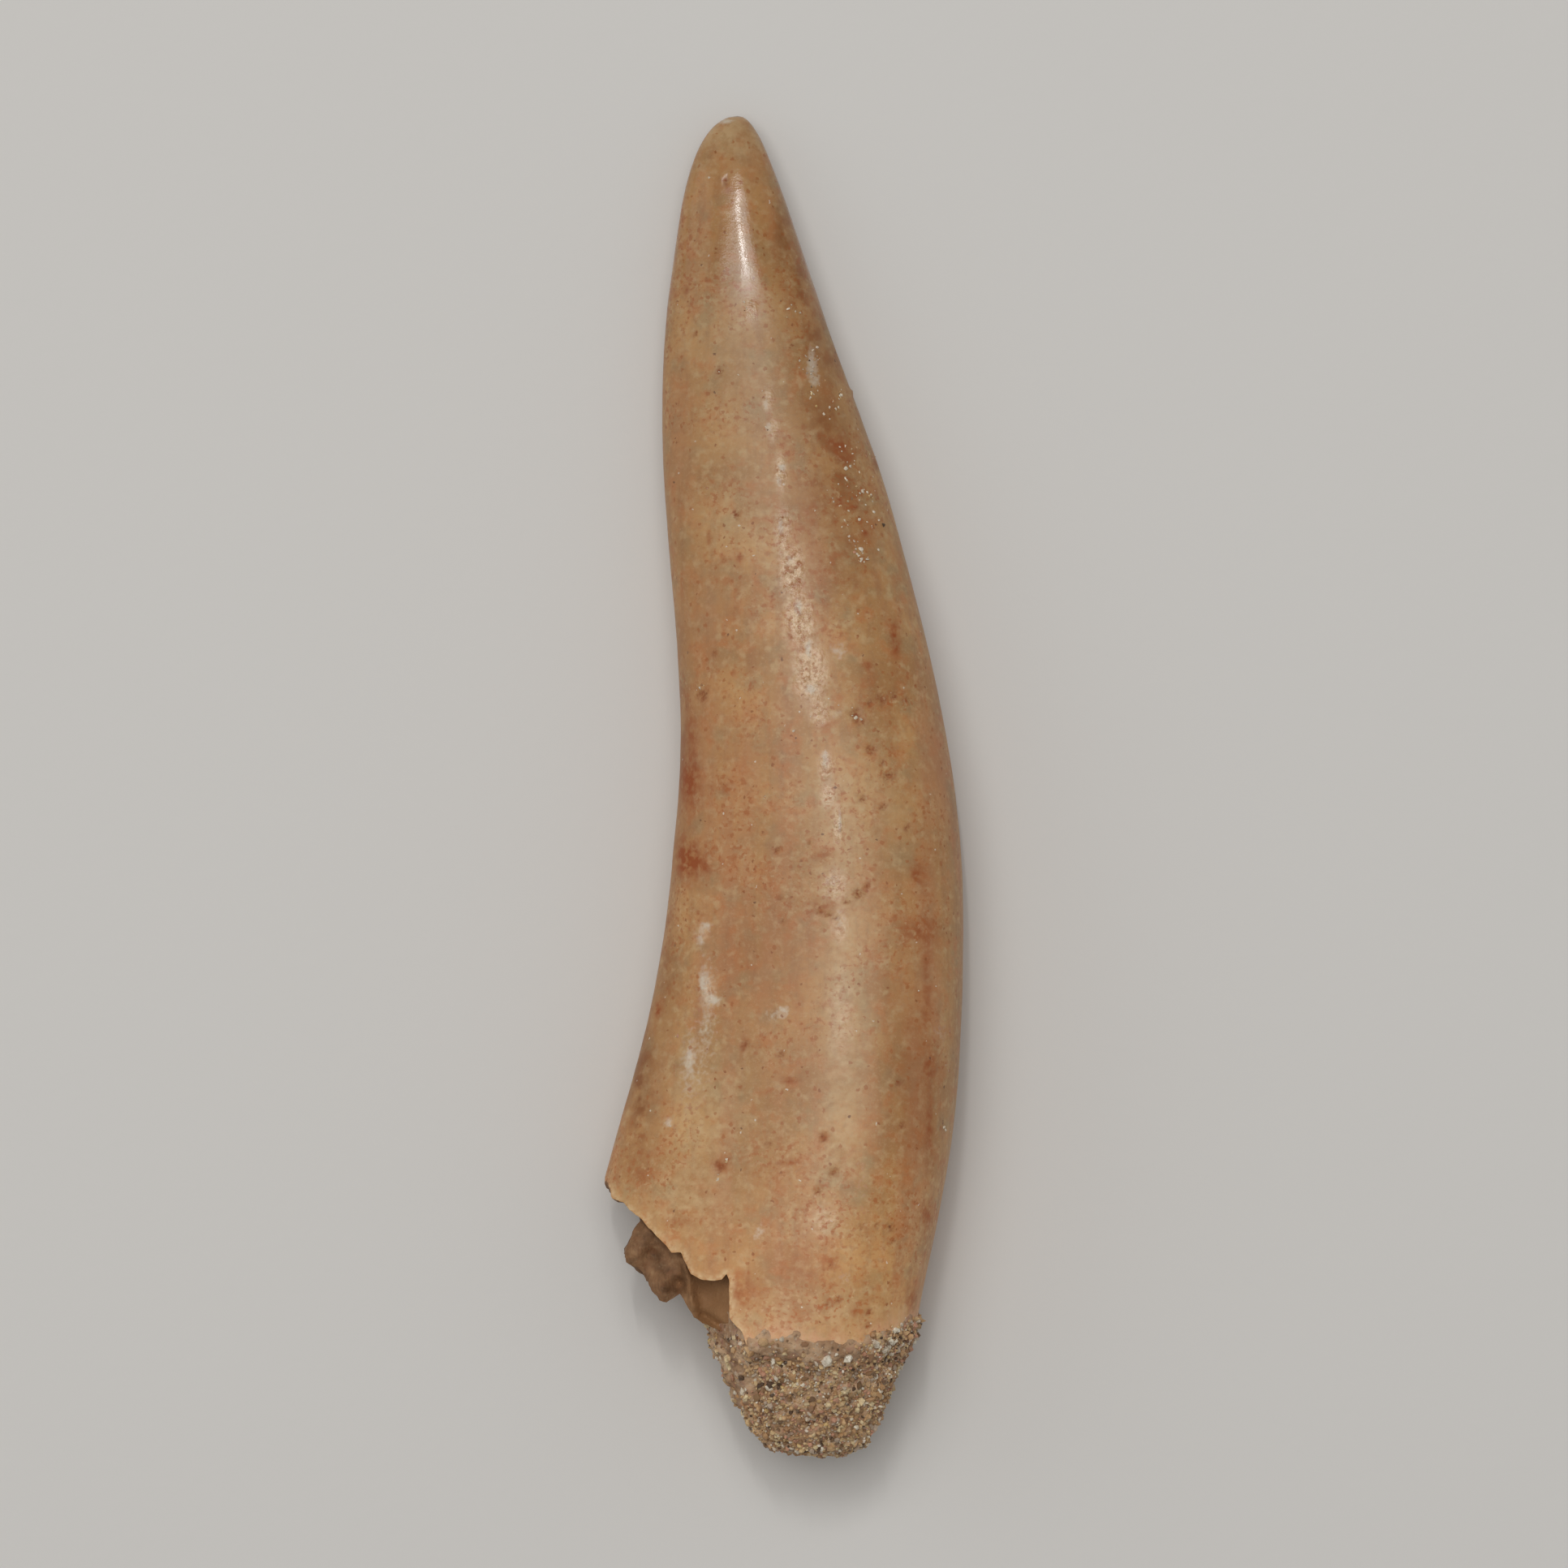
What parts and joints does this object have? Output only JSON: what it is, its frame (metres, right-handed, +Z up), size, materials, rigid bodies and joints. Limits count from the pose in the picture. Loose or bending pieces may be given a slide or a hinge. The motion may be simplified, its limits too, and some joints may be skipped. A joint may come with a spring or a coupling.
{
  "type": "fossil enchodus fang",
  "caption": "Curved, tapering fossil fish fang lying on its flatter side, broken at the base, with a plug of sandstone in the pulp cavity.",
  "frame": {"origin": "middle of the footprint, on the surface that the fang lies on", "axes": "+Y along the tooth to its point, +X to its bulged side, +Z up out of the face that the picture shows"},
  "size_m": [0.012, 0.045, 0.007],
  "materials": {
    "fossil_enamel": "satin to glossy, worn",
    "phosphate_sandstone": "rough, granular"
  },
  "bodies": {
    "root": {"fang": "fossil_enamel", "matrix_plug": "phosphate_sandstone"}
  },
  "joints": []
}
